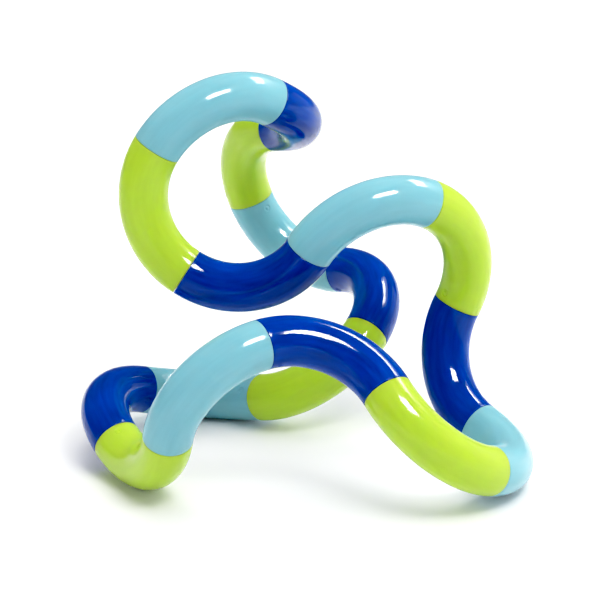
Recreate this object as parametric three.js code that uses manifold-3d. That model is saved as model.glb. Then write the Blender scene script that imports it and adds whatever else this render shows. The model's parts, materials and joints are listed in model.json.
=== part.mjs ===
// A twistable loop puzzle. Eighteen equal quarter-turn elbow links are joined end to end into one closed
// ring, and each joint swivels about the tube's own axis. A plug pressed into the leaving end of every
// link turns in the socket of the next one. Millimetres, +Z up, resting on z = 0.

import * as THREE from 'three';
import { mergeVertices } from 'three/addons/utils/BufferGeometryUtils.js';
import Module from 'manifold-3d';

const wasm = await Module();
wasm.setup();

// The links
const LINK_COUNT = 18;
const BEND_RADIUS = 22; // of the centreline
const TUBE_RADIUS = 6;
const CORE_RADIUS = 4.4; // the hollow through the bend
const SEAM_GAP = 0.3; // between the end faces of two links
const OPEN_SEAM_GAP = 1.3; // the same at the one pivot that is left open
const TUBE_SIDES = 14;
const BEND_STEPS = 7;
const CORE_SIDES = 10;
const CORE_STEPS = 5;

// The sockets that the plugs turn in, and the seats that they are pressed into
const SOCKET_RADIUS = 4.8;
const SOCKET_DEPTH = 4.6;
const SEAT_DEPTH = 4.6;
const BORE_SIDES = 14;
const BORE_OVERRUN = 1; // how far a bore's cutter stands out of the end face
const CORE_OVERLAP = 0.8; // how far the hollow runs into each bore

// The plugs
const PLUG_RADIUS = 4.45;
const PLUG_HOLE_RADIUS = 3;
const PLUG_SEAT_LENGTH = 4.2;
const NOSE_LENGTH = 4; // from the seam's middle to the tip
const BEAD_RADIUS = 4.58; // the ridge that snaps past the socket's mouth
const BEAD_WIDTH = 0.7;
const NOSE_CHAMFER = 0.6;
const PLUG_SIDES = 12;

// The pose. Each joint's swivel is 0 where the next link goes on curving the same way, as in a ring,
// and positive by the right-hand rule about the direction of travel. The loop can only close where
// the angles agree, so CLOSING_ROUNDS of small corrections bring these whole degrees into agreement.
const SWIVEL_DEGREES = [-91, -78, 150, -20, 91, -108, -12, -146, 10, 39, 62, -137, -7, 105, 2, -127, -41, 118];
const CLOSING_ROUNDS = 4000;
const RESTING_LINKS = [4, 16, 18]; // the three links that touch the table
const LEVELLING_ROUNDS = 40;
const YAW_DEGREES = -63.5;

const COLOURS = [
  { name: 'light_blue', colour: 0x80c4d7 },
  { name: 'dark_blue', colour: 0x12298f },
  { name: 'lime_green', colour: 0xb8d43c },
];
const PLUG_COLOUR = 0xe8e8e4;
const GLOSS_ROUGHNESS = 0.22;

// ---- the pose of the loop ----

// The direction of travel at each joint, before the loop is closed.
function swivelledDirections() {
  const directions = [new THREE.Vector3(1, 0, 0), new THREE.Vector3(0, 1, 0)];
  for (let joint = 1; joint < LINK_COUNT - 1; joint += 1) {
    const turn = THREE.MathUtils.degToRad(SWIVEL_DEGREES[joint]);
    const towardsCentre = directions[joint - 1].clone().negate();
    directions.push(towardsCentre.applyAxisAngle(directions[joint], turn));
  }
  return directions;
}

// A closed loop needs directions of unit length that add up to nothing, each square to the next.
function closeLoop(directions) {
  const mean = new THREE.Vector3();
  for (let round = 0; round < CLOSING_ROUNDS; round += 1) {
    mean.set(0, 0, 0);
    directions.forEach((direction) => mean.addScaledVector(direction, 1 / LINK_COUNT));
    directions.forEach((direction) => direction.sub(mean));
    directions.forEach((here, joint) => {
      const next = directions[(joint + 1) % LINK_COUNT];
      const before = here.clone();
      const lean = here.dot(next) / 2;
      here.addScaledVector(next, -lean);
      next.addScaledVector(before, -lean);
    });
    directions.forEach((direction) => direction.normalize());
  }
  return directions;
}

// Each quarter turn moves one bend radius along the way in and one along the way out.
function jointPositions(directions) {
  const positions = [new THREE.Vector3()];
  for (let joint = 1; joint < LINK_COUNT; joint += 1) {
    const step = directions[joint - 1].clone().add(directions[joint]);
    positions.push(positions[joint - 1].clone().addScaledVector(step, BEND_RADIUS));
  }
  return positions;
}

// The point of a link's centreline that lies furthest against the direction up.
function lowestPoint(directions, positions, link, up) {
  const wayIn = directions[link];
  const wayOut = directions[(link + 1) % LINK_COUNT];
  const turn = Math.atan2(-wayIn.dot(up), wayOut.dot(up));
  const angle = THREE.MathUtils.clamp(turn, 0, Math.PI / 2);
  return positions[link]
    .clone()
    .addScaledVector(wayIn, BEND_RADIUS * Math.sin(angle))
    .addScaledVector(wayOut, BEND_RADIUS * (1 - Math.cos(angle)));
}

// The turn that stands the loop on its three resting links.
function levellingTurn(directions, positions) {
  const middle = new THREE.Vector3();
  positions.forEach((position) => middle.addScaledVector(position, 1 / LINK_COUNT));
  let feet = RESTING_LINKS.map((number) => positions[number - 1].clone());
  let up = new THREE.Vector3();
  for (let round = 0; round < LEVELLING_ROUNDS; round += 1) {
    up = new THREE.Plane().setFromCoplanarPoints(...feet).normal;
    if (up.dot(middle.clone().sub(feet[0])) < 0) up.negate();
    feet = RESTING_LINKS.map((number) => lowestPoint(directions, positions, number - 1, up));
  }
  const level = new THREE.Quaternion().setFromUnitVectors(up, new THREE.Vector3(0, 0, 1));
  const yaw = new THREE.Quaternion();
  yaw.setFromAxisAngle(new THREE.Vector3(0, 0, 1), THREE.MathUtils.degToRad(YAW_DEGREES));
  return yaw.multiply(level);
}

// ---- the shapes ----

// A quarter turn from the origin along +X round to +Y, or the part of it between two angles.
class Bend extends THREE.Curve {
  constructor(startAngle, endAngle) {
    super();
    this.startAngle = startAngle;
    this.endAngle = endAngle;
  }

  getPoint(share, target = new THREE.Vector3()) {
    const angle = THREE.MathUtils.lerp(this.startAngle, this.endAngle, share);
    return target.set(BEND_RADIUS * Math.sin(angle), BEND_RADIUS * (1 - Math.cos(angle)), 0);
  }
}

function toSolid(geometry) {
  const bare = geometry.clone();
  bare.deleteAttribute('normal');
  bare.deleteAttribute('uv');
  const merged = mergeVertices(bare);
  return new wasm.Manifold(
    new wasm.Mesh({
      numProp: 3,
      vertProperties: new Float32Array(merged.attributes.position.array),
      triVerts: new Uint32Array(merged.index.array),
    }),
  );
}

function toGeometry(solid) {
  const mesh = solid.getMesh();
  const geometry = new THREE.BufferGeometry();
  geometry.setAttribute('position', new THREE.BufferAttribute(mesh.vertProperties, 3));
  geometry.setIndex(new THREE.BufferAttribute(mesh.triVerts, 1));
  return geometry;
}

// A bent rod. Its flats touch the true circle, so it is nowhere thinner than the radius asked for.
function bentRod(radius, sides, steps, startLength, endLength) {
  const outline = new THREE.Shape();
  outline.absarc(0, 0, radius / Math.cos(Math.PI / sides), 0, 2 * Math.PI, false);
  const extrudePath = new Bend(startLength / BEND_RADIUS, Math.PI / 2 - endLength / BEND_RADIUS);
  // an arc is divided into twice as many sides as curveSegments says
  return new THREE.ExtrudeGeometry(outline, { steps, curveSegments: sides / 2, bevelEnabled: false, extrudePath });
}

// A straight bore's cutter, from BORE_OVERRUN outside the end plane to the given depth inside it.
function boreCutter(depth) {
  const length = depth + BORE_OVERRUN;
  return new THREE.CylinderGeometry(SOCKET_RADIUS, SOCKET_RADIUS, length, BORE_SIDES);
}

function socketCutter() {
  const middle = (SOCKET_DEPTH - BORE_OVERRUN) / 2;
  return boreCutter(SOCKET_DEPTH).rotateZ(-Math.PI / 2).translate(middle, 0, 0);
}

function seatCutter() {
  const middle = BEND_RADIUS - (SEAT_DEPTH - BORE_OVERRUN) / 2;
  return boreCutter(SEAT_DEPTH).translate(BEND_RADIUS, middle, 0);
}

function linkGeometry(gapBefore, gapAfter) {
  const outside = toSolid(bentRod(TUBE_RADIUS, TUBE_SIDES, BEND_STEPS, gapBefore / 2, gapAfter / 2));
  const coreStart = SOCKET_DEPTH - CORE_OVERLAP;
  const coreEnd = SEAT_DEPTH - CORE_OVERLAP;
  const hollow = toSolid(bentRod(CORE_RADIUS, CORE_SIDES, CORE_STEPS, coreStart, coreEnd))
    .add(toSolid(socketCutter()))
    .add(toSolid(seatCutter()));
  return toGeometry(outside.subtract(hollow));
}

// A hollow plug about +Y, with the seam's middle at y = 0. Without a nose it ends flush with its link.
function plugGeometry(hasNose) {
  const base = -PLUG_SEAT_LENGTH;
  const flush = -OPEN_SEAM_GAP / 2;
  const beadTop = NOSE_LENGTH - NOSE_CHAMFER;
  const nose = [
    [PLUG_RADIUS, beadTop - BEAD_WIDTH],
    [BEAD_RADIUS, beadTop - BEAD_WIDTH / 2],
    [PLUG_RADIUS, beadTop],
    [PLUG_RADIUS - NOSE_CHAMFER, NOSE_LENGTH],
    [PLUG_HOLE_RADIUS, NOSE_LENGTH],
  ];
  const flat = [
    [PLUG_RADIUS, flush],
    [PLUG_HOLE_RADIUS, flush],
  ];
  const outline = [[PLUG_HOLE_RADIUS, base], [PLUG_RADIUS, base], ...(hasNose ? nose : flat)];
  const points = [...outline, outline[0]].map(([radius, height]) => new THREE.Vector2(radius, height));
  const geometry = new THREE.LatheGeometry(points, PLUG_SIDES);
  return geometry.translate(BEND_RADIUS, BEND_RADIUS, 0);
}

// ---- the assembly ----

function material(name, colour) {
  return new THREE.MeshStandardMaterial({ name, color: colour, roughness: GLOSS_ROUGHNESS, metalness: 0 });
}

// A group whose +X is the way into the link and whose +Y is the way out of it.
function linkPlace(wayIn, wayOut, position) {
  const place = new THREE.Group();
  const across = wayIn.clone().cross(wayOut);
  place.setRotationFromMatrix(new THREE.Matrix4().makeBasis(wayIn, wayOut, across));
  place.position.copy(position);
  return place;
}

function buildLoop() {
  const directions = closeLoop(swivelledDirections());
  const positions = jointPositions(directions);
  const loop = new THREE.Group();
  for (let link = 0; link < LINK_COUNT; link += 1) {
    const isFirst = link === 0;
    const isLast = link === LINK_COUNT - 1;
    const number = String(link + 1).padStart(2, '0');
    const { name, colour } = COLOURS[link % COLOURS.length];
    const place = linkPlace(directions[link], directions[(link + 1) % LINK_COUNT], positions[link]);
    const elbow = new THREE.Mesh(
      linkGeometry(isFirst ? OPEN_SEAM_GAP : SEAM_GAP, isLast ? OPEN_SEAM_GAP : SEAM_GAP),
      material(name, colour),
    );
    elbow.name = `link_${number}`;
    const plug = new THREE.Mesh(plugGeometry(!isLast), material('plug', PLUG_COLOUR));
    plug.name = `plug_${number}`;
    place.add(elbow, plug);
    loop.add(place);
  }
  loop.quaternion.copy(levellingTurn(directions, positions));
  return loop;
}

// Puts the middle of the footprint at the origin and the lowest point on z = 0.
function standAtOrigin(loop) {
  loop.updateMatrixWorld(true);
  const box = new THREE.Box3().setFromObject(loop, true);
  loop.position.set(-(box.min.x + box.max.x) / 2, -(box.min.y + box.max.y) / 2, -box.min.z);
  const root = new THREE.Group();
  root.add(loop);
  return root;
}

export default standAtOrigin(buildLoop());
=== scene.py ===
# The looks of a twistable loop puzzle: eighteen glossy quarter-turn tube links in three colours, with
# the swivel plugs that join them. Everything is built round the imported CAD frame, in metres, +Z up.

import json
import math

import bpy
from mathutils import Matrix, Quaternion, Vector

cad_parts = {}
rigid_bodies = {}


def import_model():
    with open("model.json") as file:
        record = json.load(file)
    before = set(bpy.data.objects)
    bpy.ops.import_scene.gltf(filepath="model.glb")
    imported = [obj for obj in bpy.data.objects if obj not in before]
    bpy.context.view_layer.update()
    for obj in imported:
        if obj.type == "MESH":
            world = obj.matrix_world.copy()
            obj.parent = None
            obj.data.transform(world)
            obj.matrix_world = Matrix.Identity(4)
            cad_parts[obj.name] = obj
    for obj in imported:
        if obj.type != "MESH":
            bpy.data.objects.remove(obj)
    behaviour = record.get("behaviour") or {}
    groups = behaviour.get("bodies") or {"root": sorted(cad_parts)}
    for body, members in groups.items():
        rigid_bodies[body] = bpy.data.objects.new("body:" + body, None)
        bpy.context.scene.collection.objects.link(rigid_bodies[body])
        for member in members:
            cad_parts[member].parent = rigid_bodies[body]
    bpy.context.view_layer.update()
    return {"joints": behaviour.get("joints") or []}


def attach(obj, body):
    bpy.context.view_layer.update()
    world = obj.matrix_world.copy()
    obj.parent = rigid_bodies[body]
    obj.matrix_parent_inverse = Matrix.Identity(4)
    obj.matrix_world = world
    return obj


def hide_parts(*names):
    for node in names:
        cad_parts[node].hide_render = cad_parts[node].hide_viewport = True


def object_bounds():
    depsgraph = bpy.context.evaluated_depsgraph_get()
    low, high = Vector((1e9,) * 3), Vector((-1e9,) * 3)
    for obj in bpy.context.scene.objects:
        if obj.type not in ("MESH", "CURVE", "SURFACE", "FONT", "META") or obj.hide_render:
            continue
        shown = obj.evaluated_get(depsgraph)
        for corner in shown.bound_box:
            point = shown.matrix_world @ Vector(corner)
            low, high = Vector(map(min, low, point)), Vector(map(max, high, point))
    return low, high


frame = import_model()

MM = 0.001
LINK_COUNT = 18
FULL_TURN = 2 * math.pi
QUARTER_TURN = FULL_TURN / 4

# The links
TUBE_RADIUS = 6 * MM
SEAM = 0.1 * MM  # the hairline between two end faces
EDGE_ROUND = 0.14 * MM  # the round that runs out onto each end face
EDGE_STEPS = 5
CORE_RADIUS = 4.4 * MM
CORE_STEPS = 20

# The bores at the two ends of a link
BORE_DEPTH = 4.6 * MM
SEAT_RADIUS = 4.5 * MM  # the plug is pressed in here
SOCKET_RADIUS = 4.54 * MM  # and turns here
MOUTH_CHAMFER = 0.25 * MM
GROOVE_RADIUS = 4.72 * MM  # where the plug's bead lies
GROOVE_START = 2.5 * MM
GROOVE_END = 3.6 * MM
GROOVE_SLOPE = 0.2 * MM

# The steps of a link's mesh, finer round the gate mark
STATION_STEP = math.radians(2.2)
SIDE_STEP = math.radians(5.5)
MARK_STEP = 0.13 * MM

# The round scar that the mould's gate leaves on the inside of the bend
MARK_ALONG = math.radians(8)  # from the link's start
MARK_ROUND = math.radians(168)  # round the tube from the outside of the bend
MARK_RADIUS = 0.95 * MM
MARK_DEPTH = 0.2 * MM
MARK_WALL = 0.2 * MM
NUB_RADIUS = 0.45 * MM
NUB_TOP_RADIUS = 0.15 * MM
NUB_HEIGHT = 0.16 * MM

# The plugs
PLUG_RADIUS = 4.45 * MM
PLUG_HOLE_RADIUS = 3 * MM
PLUG_BASE = -4.2 * MM
PLUG_TIP = 4 * MM
PLUG_LEAD_IN = 0.3 * MM
NOSE_CHAMFER = 0.6 * MM
BEAD_RADIUS = 4.58 * MM
BEAD_WIDTH = 0.7 * MM
BEAD_STEPS = 6
FLUSH_END = -0.65 * MM  # where the plug at the open pivot is cut off
SLOT_COUNT = 4
SLOT_FLOOR = 0.3 * MM
SLOT_HALF_ANGLE = math.radians(8)
SLOT_WALL_ANGLE = math.radians(0.2)
PLUG_SIDE_STEP = math.radians(5)

CREASE = math.radians(35)  # faces that meet at a larger angle than this have a sharp edge
LINK_PLACE = "link_place"  # the mesh attribute that holds each point's place in its link's own axes

# The colours, in the order in which they repeat round the loop
LIGHT_BLUE = (0.205, 0.440, 0.510)
DARK_BLUE = (0.0005, 0.048, 0.285)
LIME_GREEN = (0.392, 0.568, 0.064)
SLOTS = ("light_blue", "dark_blue", "lime_green")

# The glossy plastic's patterns. A scale is a noise's cells to the metre.
NOISE_SPREAD = (0.3, 0.7)  # where a noise's values mostly lie
PAIR_SPREAD = (0.7, 1.3)  # and where the sums of two noises do
CLOUD_SCALE = 90
PEEL_SCALE = 650
GRAIN_SCALE = 5200
FLOW_SCALE = 900
FLOW_STRETCH = (1, 0.12)  # across the tube and along it: the lines run along it
SCRATCH_SCALE = 5200
SCRATCH_STRETCH = (0.05, 1)  # the lines run round the tube
SCRATCH_PEAKS = (0.70, 0.78)  # only the noise's highest places are scratches
RUBBED_WIDTH = 1.4 * MM  # the rim beside a seam, where two links rub

# How much each pattern counts in the plastic's colour, roughness and relief
CLOUD_TINT = 0.4
FLOW_TINT = 0.6
POLISH = (0.06, 0.12)
SCRATCH_ROUGHNESS = 0.12
RUBBED_ROUGHNESS = 0.22
PEEL_RELIEF = 0.3
GRAIN_RELIEF = 0.06
FLOW_RELIEF = 0.2
SCRATCH_RELIEF = -0.05
RELIEF_DEPTH = 0.008 * MM

# Light in the glossy plastic
PLASTIC_IOR = 1.33
PLASTIC_MILKINESS = 0.8  # the share of the light that scatters inside
LEAST_SPREAD = 0.2  # how far any colour travels inside, as a share of the depth of light

# The plugs' plastic
PLUG_WHITE = (0.780, 0.780, 0.740)
PLUG_SHADE = 0.94  # its darker places
PLUG_CLOUD_SCALE = 160
PLUG_GRAIN_SCALE = 3800
PLUG_ROUGHNESS = (0.32, 0.46)
PLUG_RELIEF_DEPTH = 0.01 * MM
PLUG_MILKINESS = 0.2
PLUG_DEPTH_OF_LIGHT = 1.2 * MM

# The camera
CAMERA_AIM = Vector((-0.01, 10.93, 33.36)) * MM
CAMERA_DISTANCE = 633.2 * MM
CAMERA_AZIMUTH = math.radians(-0.07)
CAMERA_ELEVATION = math.radians(18.14)
CAMERA_ROLL = math.radians(1.15)
CAMERA_LENS = 150.67  # this and the sensor's width are in millimetres, as Blender has them
SENSOR_WIDTH = 36
NEAREST_SEEN = 0.01
FARTHEST_SEEN = 50

# The floor and the room
FLOOR_HALF_SIZE = 6
FLOOR_PATCH_SCALE = 3
FLOOR_TONES = (0.86, 0.88)
FLOOR_ROUGHNESS = 0.9
FLOOR_SHINE = 0.1
WALL_COLOUR = (0.97, 0.98, 1.0)
WALL_BRIGHTNESS = 0.17

# The display's curve. A pair is a brightness in the scene and the one that is shown for it.
HAZE = 0.022  # the brightness that is shown as black
HIGHLIGHT_SHOULDER = ((0.42, 0.42), (0.80, 0.73))
WHITE_POINT = (1.3, 1.0)
COMBINED_CURVE = 3  # its place among the curves: it acts on red, green and blue alike


# ---- where the links are ----

def joint_lines():
    """The direction of travel round the loop at each link's start, and the place of that start."""
    directions = [None] * LINK_COUNT
    places = [None] * LINK_COUNT
    for joint in frame["joints"]:
        parent = int(joint["parent"][-2:])
        child = int(joint["child"][-2:])
        index = max(parent, child) - 1
        onwards = 1 if child > parent else -1
        directions[index] = Vector(joint["axis"]).normalized() * onwards
        places[index] = Vector(joint["pos_m"])
    return directions, places


def close_open_pivot(directions, places, bend_radius):
    """Fills in the pivot between the last link and the first, which has no joint."""
    across_both = (places[1] - places[-1]) / bend_radius
    directions[0] = ((across_both - directions[-1] - directions[1]) / 2).normalized()
    places[0] = places[1] - (directions[0] + directions[1]) * bend_radius


directions, places = joint_lines()
BEND_RADIUS = (places[2] - places[1]).length / math.sqrt(2)
close_open_pivot(directions, places, BEND_RADIUS)


def link_matrix(index):
    """+X is the way into the link, +Y the way out of it, and the origin is the middle of its start."""
    way_in = directions[index]
    across = way_in.cross(directions[(index + 1) % LINK_COUNT]).normalized()
    way_out = across.cross(way_in)
    turn = Matrix((way_in, way_out, across)).transposed().to_4x4()
    return Matrix.Translation(places[index]) @ turn


# ---- meshes ----

def section_point(bend, shift, radius, side):
    """A point on the circle that crosses the centreline at the angle bend, moved straight on by shift.
    The angle side is measured round the tube from the outside of the bend."""
    outward = Vector((math.sin(bend), -math.cos(bend), 0))
    onward = Vector((math.cos(bend), math.sin(bend), 0))
    centre = Vector((0, BEND_RADIUS, 0)) + outward * BEND_RADIUS + onward * shift
    return centre + (outward * math.cos(side) + Vector((0, 0, 1)) * math.sin(side)) * radius


def even_steps(start, end, step):
    """Values from start up to, but not including, end."""
    count = max(1, round((end - start) / step))
    return [start + (end - start) * number / count for number in range(count)]


def stepped(start, end, step, fine_middle, fine_half, fine_step):
    """Values from start up to, but not including, end, with finer steps round one place."""
    low = fine_middle - fine_half
    high = fine_middle + fine_half
    before = even_steps(start, low, step)
    inside = even_steps(low, high, fine_step)
    after = even_steps(high, end, step)
    return before + inside + after


def lofted(name, rings):
    """A closed mesh: each ring of points joins the next one, and the last joins the first.
    It keeps its points' places in the link's own axes as an attribute, for the materials."""
    sides = len(rings[0])
    faces = []
    for number in range(len(rings)):
        near = number * sides
        far = (number + 1) % len(rings) * sides
        for side in range(sides):
            other = (side + 1) % sides
            faces.append((near + side, far + side, far + other, near + other))
    mesh = bpy.data.meshes.new(name)
    points = [point for ring in rings for point in ring]
    mesh.from_pydata(points, [], faces)
    kept = mesh.attributes.new(LINK_PLACE, "FLOAT_VECTOR", "POINT")
    kept.data.foreach_set("vector", [number for point in points for number in point])
    mesh.polygons.foreach_set("use_smooth", [True] * len(faces))
    mesh.set_sharp_from_angle(angle=CREASE)
    return mesh


def smooth_step(value, low, high):
    """0 below low, 1 above high, and a soft slope between them."""
    share = min(1, max(0, (value - low) / (high - low)))
    return share * share * (3 - 2 * share)


def mark_height(bend, side):
    """How far the gate mark raises the outer surface: a sunk disc with a small nub in its middle."""
    inner_radius = BEND_RADIUS + TUBE_RADIUS * math.cos(MARK_ROUND)
    distance = math.hypot((bend - MARK_ALONG) * inner_radius, (side - MARK_ROUND) * TUBE_RADIUS)
    sunk = MARK_DEPTH * (1 - smooth_step(distance, MARK_RADIUS - MARK_WALL, MARK_RADIUS))
    nub = NUB_HEIGHT * (1 - smooth_step(distance, NUB_TOP_RADIUS, NUB_RADIUS))
    return nub - sunk


def link_sides():
    """The angles round the tube at which a link's rings have their points."""
    reach = (MARK_RADIUS + MARK_STEP) / TUBE_RADIUS
    return stepped(0, FULL_TURN, SIDE_STEP, MARK_ROUND, reach, MARK_STEP / TUBE_RADIUS)


def outer_stations():
    """(bend, radius) along the outer surface, from one end face's round edge to the other's."""
    face = SEAM / 2 / BEND_RADIUS
    edge = EDGE_ROUND / BEND_RADIUS
    first_round = []
    for step in range(EDGE_STEPS):
        turn = QUARTER_TURN * step / EDGE_STEPS
        bend = face + edge * (1 - math.cos(turn))
        first_round.append((bend, TUBE_RADIUS - EDGE_ROUND * (1 - math.sin(turn))))
    last_round = [(QUARTER_TURN - bend, radius) for bend, radius in reversed(first_round)]

    start = face + edge
    end = QUARTER_TURN - face - edge
    inner_radius = BEND_RADIUS - TUBE_RADIUS
    reach = (MARK_RADIUS + MARK_STEP) / inner_radius
    bends = stepped(start, end, STATION_STEP, MARK_ALONG, reach, MARK_STEP / inner_radius)
    full_width = [(bend, TUBE_RADIUS) for bend in bends + [end]]
    return first_round + full_width + last_round


def seat_profile():
    """(depth, radius) down the bore that the link's own plug is pressed into."""
    return [
        (SEAM / 2, SEAT_RADIUS + MOUTH_CHAMFER),
        (SEAM / 2 + MOUTH_CHAMFER, SEAT_RADIUS),
        (BORE_DEPTH, SEAT_RADIUS),
        (BORE_DEPTH, CORE_RADIUS),
    ]


def socket_profile():
    """(depth, radius) down the bore that the next plug turns in, with the groove for its bead."""
    return [
        (SEAM / 2, SOCKET_RADIUS + MOUTH_CHAMFER),
        (SEAM / 2 + MOUTH_CHAMFER, SOCKET_RADIUS),
        (GROOVE_START, SOCKET_RADIUS),
        (GROOVE_START + GROOVE_SLOPE, GROOVE_RADIUS),
        (GROOVE_END - GROOVE_SLOPE, GROOVE_RADIUS),
        (GROOVE_END, SOCKET_RADIUS),
        (BORE_DEPTH, SOCKET_RADIUS),
        (BORE_DEPTH, CORE_RADIUS),
    ]


def link_mesh(name):
    """A hollow quarter-turn tube: out along its skin, and back through its seat, core and socket."""
    sides = link_sides()
    rings = []
    for bend, radius in outer_stations():
        rings.append([section_point(bend, 0, radius + mark_height(bend, side), side) for side in sides])
    for depth, radius in seat_profile():
        rings.append([section_point(QUARTER_TURN, -depth, radius, side) for side in sides])
    core_start = BORE_DEPTH / BEND_RADIUS
    for step in range(1, CORE_STEPS):
        bend = QUARTER_TURN - core_start - (QUARTER_TURN - 2 * core_start) * step / CORE_STEPS
        rings.append([section_point(bend, 0, CORE_RADIUS, side) for side in sides])
    for depth, radius in reversed(socket_profile()):
        rings.append([section_point(0, depth, radius, side) for side in sides])
    return lofted(name, rings)


def plug_nose():
    """(height, radius) over the plug's nose, from the slots' floor outside to the tip's hole."""
    bead_top = PLUG_TIP - NOSE_CHAMFER
    outline = [(SLOT_FLOOR, PLUG_RADIUS)]
    for step in range(BEAD_STEPS + 1):
        turn = math.pi * step / BEAD_STEPS
        height = bead_top - BEAD_WIDTH / 2 * (1 + math.cos(turn))
        outline.append((height, PLUG_RADIUS + (BEAD_RADIUS - PLUG_RADIUS) * math.sin(turn)))
    outline.append((PLUG_TIP, PLUG_RADIUS - NOSE_CHAMFER))
    outline.append((PLUG_TIP, PLUG_HOLE_RADIUS))
    outline.append((SLOT_FLOOR, PLUG_HOLE_RADIUS))
    return outline


def slot_floor(count):
    """(height, radius) of as many points as the nose has, straight across the floor of a slot."""
    across = PLUG_HOLE_RADIUS - PLUG_RADIUS
    return [(SLOT_FLOOR, PLUG_RADIUS + across * number / (count - 1)) for number in range(count)]


def plug_columns():
    """(side, is in a slot) all the way round the plug."""
    columns = []
    pitch = FULL_TURN / SLOT_COUNT
    for slot in range(SLOT_COUNT):
        slot_start = pitch * slot - SLOT_HALF_ANGLE
        slot_end = pitch * slot + SLOT_HALF_ANGLE
        finger_start = slot_end + SLOT_WALL_ANGLE
        finger_end = slot_start + pitch - SLOT_WALL_ANGLE
        slot_sides = even_steps(slot_start, slot_end, PLUG_SIDE_STEP) + [slot_end]
        finger_sides = even_steps(finger_start, finger_end, PLUG_SIDE_STEP) + [finger_end]
        columns += [(side, True) for side in slot_sides]
        columns += [(side, False) for side in finger_sides]
    return columns


def plug_mesh(name, has_nose):
    """A hollow plug at the leaving end of its link. Its nose is slit so that its bead can snap in.
    Without a nose it is cut off inside its link."""
    base = [
        (PLUG_BASE, PLUG_HOLE_RADIUS),
        (PLUG_BASE, PLUG_RADIUS - PLUG_LEAD_IN),
        (PLUG_BASE + PLUG_LEAD_IN, PLUG_RADIUS),
    ]
    if has_nose:
        finger = plug_nose()
        slot = slot_floor(len(finger))
    else:
        finger = [(FLUSH_END, PLUG_RADIUS), (FLUSH_END, PLUG_HOLE_RADIUS)]
        slot = finger
    columns = plug_columns()
    rings = []
    for finger_point, slot_point in zip(base + finger, base + slot):
        ring = []
        for side, in_slot in columns:
            height, radius = slot_point if in_slot else finger_point
            ring.append(section_point(QUARTER_TURN, height, radius, side))
        rings.append(ring)
    return lofted(name, rings)


# ---- materials ----

class NodeMaker:
    """Short ways to add nodes to one new material."""

    def __init__(self, name):
        self.material = bpy.data.materials.new(name)
        self.material.use_nodes = True
        self.tree = self.material.node_tree
        self.shader = self.tree.nodes["Principled BSDF"].inputs

    def put(self, socket, value):
        """Gives a socket a value: another node's output, or a plain one."""
        if isinstance(value, bpy.types.NodeSocket):
            self.tree.links.new(value, socket)
        else:
            socket.default_value = value

    def add(self, kind, inputs=(), **settings):
        """A node with its settings, and its inputs given by name or number."""
        node = self.tree.nodes.new(kind)
        for key, value in settings.items():
            setattr(node, key, value)
        for key, value in dict(inputs).items():
            self.put(node.inputs[key], value)
        return node

    def maths(self, operation, first, second=0.0):
        return self.add("ShaderNodeMath", {0: first, 1: second}, operation=operation).outputs[0]

    def vector_maths(self, operation, first, second):
        return self.add("ShaderNodeVectorMath", {0: first, 1: second}, operation=operation).outputs[0]

    def weighted_sum(self, *terms):
        """The sum of (value, weight) terms."""
        total = 0.0
        for value, weight in terms:
            total = self.maths("ADD", total, self.maths("MULTIPLY", value, weight))
        return total

    def remap(self, value, source, target):
        """The range source of a value, moved to the range target and cut off there."""
        inputs = {"Value": value, "From Min": source[0], "From Max": source[1],
                  "To Min": target[0], "To Max": target[1]}
        return self.add("ShaderNodeMapRange", inputs).outputs["Result"]

    def noise(self, place, seed, scale, detail=2.0):
        inputs = {"Vector": place, "W": seed, "Scale": scale, "Detail": detail}
        return self.add("ShaderNodeTexNoise", inputs, noise_dimensions="4D").outputs["Fac"]

    def link_place(self):
        """A point's place in its link's own axes, in metres."""
        return self.add("ShaderNodeAttribute", attribute_name=LINK_PLACE).outputs["Vector"]

    def link_seed(self):
        """A number of each link's own, so that no two links have the same noise."""
        return self.add("ShaderNodeObjectInfo").outputs["Object Index"]

    def blend_colour(self, share, first, second):
        mix = self.add("ShaderNodeMix", {"Factor": share}, data_type="RGBA")
        mix.inputs["A"].default_value = (*first, 1)
        mix.inputs["B"].default_value = (*second, 1)
        self.put(self.shader["Base Color"], mix.outputs["Result"])

    def raise_surface(self, height, depth):
        bump = self.add("ShaderNodeBump", {"Height": height, "Strength": 1.0, "Distance": depth})
        self.put(self.shader["Normal"], bump.outputs["Normal"])


def tube_coordinates(maker, place):
    """A point's place in the tube's section, its distance along the bend, and its distance to the link's
    nearer end, in metres."""
    parts = maker.add("ShaderNodeSeparateXYZ", {"Vector": place}).outputs
    inwards = maker.maths("SUBTRACT", BEND_RADIUS, parts["Y"])
    bend = maker.maths("ARCTAN2", parts["X"], inwards)
    along = maker.maths("MULTIPLY", bend, BEND_RADIUS)
    x_squared = maker.maths("MULTIPLY", parts["X"], parts["X"])
    inwards_squared = maker.maths("MULTIPLY", inwards, inwards)
    from_bend_centre = maker.maths("SQRT", maker.maths("ADD", x_squared, inwards_squared))
    off_centre = maker.maths("SUBTRACT", from_bend_centre, BEND_RADIUS)
    section = maker.add("ShaderNodeCombineXYZ", {"Y": off_centre, "Z": parts["Z"]}).outputs[0]
    length = BEND_RADIUS * QUARTER_TURN
    to_end = maker.maths("MINIMUM", along, maker.maths("SUBTRACT", length, along))
    return section, along, to_end


def stretched(maker, section, along, stretch):
    """The section and the distance along as one place, scaled differently, so that a noise there has a
    direction."""
    across_scale, along_scale = stretch
    scaled = maker.vector_maths("MULTIPLY", section, (0, across_scale, across_scale))
    onward = maker.add("ShaderNodeCombineXYZ", {"X": maker.maths("MULTIPLY", along, along_scale)}).outputs[0]
    return maker.vector_maths("ADD", scaled, onward)


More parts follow.
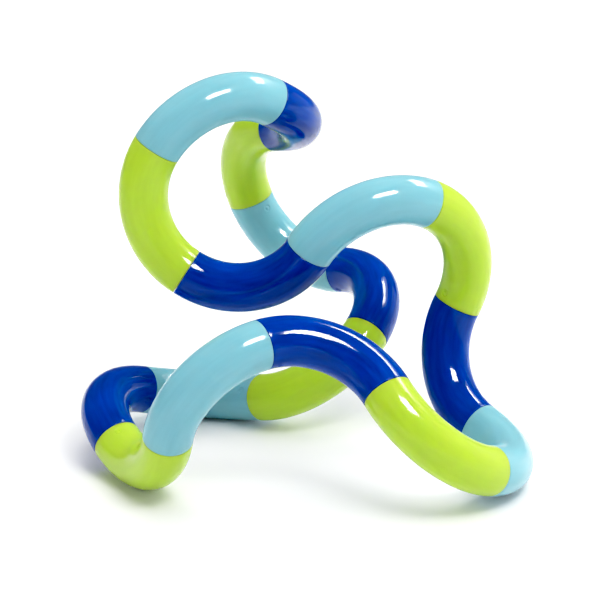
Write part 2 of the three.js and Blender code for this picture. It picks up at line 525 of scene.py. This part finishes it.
def glossy_plastic(name, colour, depth_of_light, unevenness):
    """Moulded plastic with a high polish: faint flow lines, an uneven sheen, hairline scratches and a
    slightly duller rim beside each seam, where the links rub."""
    maker = NodeMaker(name)
    place = maker.link_place()
    seed = maker.link_seed()
    section, along, to_end = tube_coordinates(maker, place)
    clouds = maker.noise(place, seed, CLOUD_SCALE)
    peel = maker.noise(place, seed, PEEL_SCALE)
    grain = maker.noise(place, seed, GRAIN_SCALE)
    flow_place = stretched(maker, section, along, FLOW_STRETCH)
    flow = maker.noise(flow_place, seed, FLOW_SCALE, detail=3.0)
    scratch_place = stretched(maker, section, along, SCRATCH_STRETCH)
    scratches = maker.noise(scratch_place, seed, SCRATCH_SCALE, detail=1.0)
    scratches = maker.remap(scratches, SCRATCH_PEAKS, (0, 1))

    tint = maker.weighted_sum((clouds, CLOUD_TINT), (flow, FLOW_TINT))
    deep = [part * (1 - unevenness) for part in colour]
    pale = [part * (1 + unevenness) for part in colour]
    maker.blend_colour(maker.remap(tint, NOISE_SPREAD, (0, 1)), deep, pale)

    sheen = maker.remap(maker.maths("ADD", clouds, flow), PAIR_SPREAD, POLISH)
    rubbed = maker.maths("MULTIPLY", maker.remap(to_end, (0, RUBBED_WIDTH), (1, 0)), grain)
    roughness = maker.weighted_sum((sheen, 1), (scratches, SCRATCH_ROUGHNESS), (rubbed, RUBBED_ROUGHNESS))
    maker.put(maker.shader["Roughness"], roughness)

    relief = maker.weighted_sum((peel, PEEL_RELIEF), (grain, GRAIN_RELIEF), (flow, FLOW_RELIEF),
                                (scratches, SCRATCH_RELIEF))
    maker.raise_surface(relief, RELIEF_DEPTH)

    maker.put(maker.shader["IOR"], PLASTIC_IOR)
    maker.put(maker.shader["Subsurface Weight"], PLASTIC_MILKINESS)
    maker.put(maker.shader["Subsurface Radius"], [LEAST_SPREAD + part for part in colour])
    maker.put(maker.shader["Subsurface Scale"], depth_of_light)
    return maker.material


def bearing_plastic():
    """The plugs' unpolished white plastic, faintly cloudy and with a fine grain."""
    maker = NodeMaker("plug_white")
    place = maker.link_place()
    seed = maker.link_seed()
    clouds = maker.noise(place, seed, PLUG_CLOUD_SCALE)
    grain = maker.noise(place, seed, PLUG_GRAIN_SCALE, detail=3.0)
    maker.blend_colour(clouds, [part * PLUG_SHADE for part in PLUG_WHITE], PLUG_WHITE)
    maker.put(maker.shader["Roughness"], maker.remap(grain, NOISE_SPREAD, PLUG_ROUGHNESS))
    maker.raise_surface(grain, PLUG_RELIEF_DEPTH)
    maker.put(maker.shader["Subsurface Weight"], PLUG_MILKINESS)
    maker.put(maker.shader["Subsurface Scale"], PLUG_DEPTH_OF_LIGHT)
    return maker.material


def floor_paper():
    """Pale matt paper, faintly uneven in tone."""
    maker = NodeMaker("floor_paper")
    place = maker.add("ShaderNodeTexCoord").outputs["Object"]
    tone = maker.remap(maker.noise(place, 0.0, FLOOR_PATCH_SCALE), NOISE_SPREAD, FLOOR_TONES)
    colour = maker.add("ShaderNodeCombineColor", {"Red": tone, "Green": tone, "Blue": tone})
    maker.put(maker.shader["Base Color"], colour.outputs["Color"])
    maker.put(maker.shader["Roughness"], FLOOR_ROUGHNESS)
    maker.put(maker.shader["Specular IOR Level"], FLOOR_SHINE)
    return maker.material


# ---- the puzzle ----

def add_piece(name, mesh, index, body, node):
    """A copy of the mesh in its link's place. It rides on a body and replaces a node of the CAD."""
    placed = mesh.copy()
    placed.name = name
    placed.transform(link_matrix(index))
    piece = bpy.data.objects.new(name, placed)
    bpy.context.scene.collection.objects.link(piece)
    piece.pass_index = index + 1
    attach(piece, body)
    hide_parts(node)


def elbow_meshes():
    """One link's mesh in each colour."""
    plastics = (
        glossy_plastic("light_blue_plastic", LIGHT_BLUE, depth_of_light=5 * MM, unevenness=0.05),
        glossy_plastic("dark_blue_plastic", DARK_BLUE, depth_of_light=1 * MM, unevenness=0.28),
        glossy_plastic("lime_green_plastic", LIME_GREEN, depth_of_light=6 * MM, unevenness=0.05),
    )
    elbows = []
    for slot, plastic in zip(SLOTS, plastics):
        elbow = link_mesh(f"elbow_{slot}")
        elbow.materials.append(plastic)
        elbows.append(elbow)
    return elbows


def build_loop():
    """Every link with its plug. The last link's plug is cut off flush, because its pivot is open."""
    elbows = elbow_meshes()
    swivel_plug = plug_mesh("swivel_plug", has_nose=True)
    flush_plug = plug_mesh("flush_plug", has_nose=False)
    white = bearing_plastic()
    swivel_plug.materials.append(white)
    flush_plug.materials.append(white)
    for index in range(LINK_COUNT):
        number = f"{index + 1:02d}"
        body = f"link_{number}"
        colour = index % len(SLOTS)
        plug = flush_plug if index == LINK_COUNT - 1 else swivel_plug
        add_piece(f"elbow_{number}", elbows[colour], index, body, body)
        add_piece(f"swivel_plug_{number}", plug, index, body, f"plug_{number}")


# ---- the studio ----

def direction_to(azimuth, elevation):
    """The unit vector away from the object at an azimuth, from -Y towards +X, and an elevation."""
    level = math.cos(elevation)
    return Vector((math.sin(azimuth) * level, -math.cos(azimuth) * level, math.sin(elevation)))


def add_floor():
    """A sheet of pale paper that the lowest links just touch."""
    reach = FLOOR_HALF_SIZE
    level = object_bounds()[0][2]
    outline = ((-reach, -reach), (reach, -reach), (reach, reach), (-reach, reach))
    corners = [(x, y, level) for x, y in outline]
    mesh = bpy.data.meshes.new("floor")
    mesh.from_pydata(corners, [], [(0, 1, 2, 3)])
    mesh.materials.append(floor_paper())
    floor = bpy.data.objects.new("floor", mesh)
    bpy.context.scene.collection.objects.link(floor)


def add_softbox(name, azimuth, elevation, distance, width, height, power,
                lights_up=True, is_reflected=True):
    """A rectangular light that faces the object, with its angles in degrees and its power in watts.
    It can light the object up, be reflected in it, or both."""
    light = bpy.data.lights.new(name, "AREA")
    light.shape = "RECTANGLE"
    light.size = width
    light.size_y = height
    light.energy = power
    lamp = bpy.data.objects.new(name, light)
    away = direction_to(math.radians(azimuth), math.radians(elevation))
    lamp.location = CAMERA_AIM + away * distance
    lamp.rotation_mode = "QUATERNION"
    lamp.rotation_quaternion = away.to_track_quat("Z", "Y")
    lamp.visible_diffuse = lights_up
    lamp.visible_transmission = lights_up
    lamp.visible_glossy = is_reflected
    lamp.visible_camera = False
    bpy.context.scene.collection.objects.link(lamp)


def add_walls():
    """The even light that comes from all round."""
    world = bpy.data.worlds.new("studio_walls")
    world.use_nodes = True
    background = world.node_tree.nodes["Background"]
    background.inputs["Color"].default_value = (*WALL_COLOUR, 1)
    background.inputs["Strength"].default_value = WALL_BRIGHTNESS
    bpy.context.scene.world = world


def add_lights():
    """The softboxes. Some only light the object up, and some are only seen in its gloss."""
    add_softbox("overhead_softbox", azimuth=50, elevation=75, distance=1.0,
                width=0.8, height=0.8, power=7.2, is_reflected=False)
    add_softbox("rear_softbox", azimuth=178, elevation=42, distance=2.0,
                width=2.4, height=1.2, power=27, is_reflected=False)
    add_softbox("key_softbox", azimuth=35, elevation=52, distance=0.7,
                width=0.24, height=0.18, power=1.6)
    add_softbox("key_glint", azimuth=35, elevation=52, distance=0.69,
                width=0.22, height=0.16, power=9, lights_up=False)
    add_softbox("side_glint", azimuth=125, elevation=50, distance=0.9,
                width=0.45, height=0.12, power=5, lights_up=False)
    add_softbox("side_sheen", azimuth=125, elevation=46, distance=0.92,
                width=0.60, height=0.26, power=1.6, lights_up=False)
    add_softbox("right_wall", azimuth=100, elevation=6, distance=1.1,
                width=1.3, height=1.3, power=15, is_reflected=False)
    add_softbox("right_sheen", azimuth=108, elevation=0, distance=1.1,
                width=1.2, height=0.9, power=2.2, lights_up=False)
    add_softbox("front_fill", azimuth=-55, elevation=20, distance=1.2,
                width=1.2, height=0.8, power=5, is_reflected=False)


def add_camera():
    data = bpy.data.cameras.new("camera")
    data.sensor_width = SENSOR_WIDTH
    data.lens = CAMERA_LENS
    data.clip_start = NEAREST_SEEN
    data.clip_end = FARTHEST_SEEN
    camera = bpy.data.objects.new("camera", data)
    back = direction_to(CAMERA_AZIMUTH, CAMERA_ELEVATION)
    camera.location = CAMERA_AIM + back * CAMERA_DISTANCE
    camera.rotation_mode = "QUATERNION"
    upright = (-back).to_track_quat("-Z", "Y")
    camera.rotation_quaternion = upright @ Quaternion((0, 0, 1), -CAMERA_ROLL)
    bpy.context.scene.collection.objects.link(camera)
    bpy.context.scene.camera = camera


def set_contrast():
    """A plain display transform with a little contrast, blacks that the room's haze doesn't lift, and
    highlights that are held back a little below white."""
    view = bpy.context.scene.view_settings
    view.view_transform = "Standard"
    view.look = "Medium High Contrast"
    view.use_curve_mapping = True
    mapping = view.curve_mapping
    mapping.black_level = (HAZE, HAZE, HAZE)
    mapping.use_clip = False
    mapping.extend = "EXTRAPOLATED"
    curve = mapping.curves[COMBINED_CURVE]
    curve.points[-1].location = WHITE_POINT
    for brightness, shown in HIGHLIGHT_SHOULDER:
        curve.points.new(brightness, shown)
    mapping.update()


add_camera()
build_loop()
add_floor()
add_walls()
add_lights()
set_contrast()
